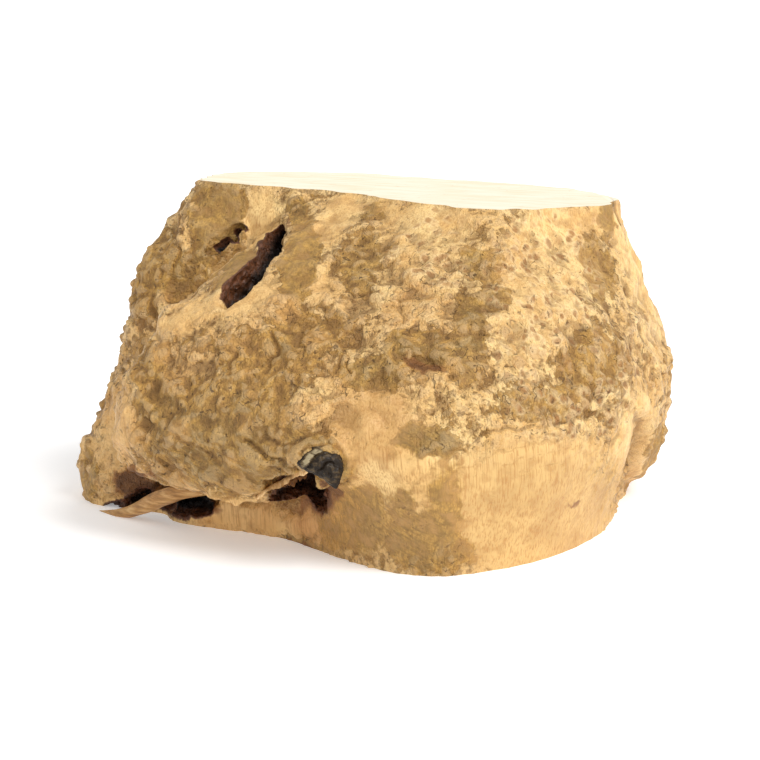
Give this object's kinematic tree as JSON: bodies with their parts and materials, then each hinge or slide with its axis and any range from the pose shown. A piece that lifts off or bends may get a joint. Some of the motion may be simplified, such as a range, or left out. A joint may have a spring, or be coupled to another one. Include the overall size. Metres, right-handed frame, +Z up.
{
  "type": "burl slice",
  "caption": "Slice of a tree burl, sawn flat above and below, with a lobed, knobbly flank that has splits, a dead knot and a claw-shaped root.",
  "frame": {"origin": "middle of the box round the part, on the sawn base", "axes": "+Z up from the sawn base, -Y towards the side with the claw root and the dead knot, +X to the right of that side"},
  "size_m": [0.4684, 0.456, 0.2481],
  "materials": {
    "burl_wood": "debarked and dry: sawn faces pale and matt, flank smooth with brown inner bark left on it in patches"
  },
  "bodies": {
    "root": {"burl_slice": "burl_wood"}
  },
  "joints": []
}
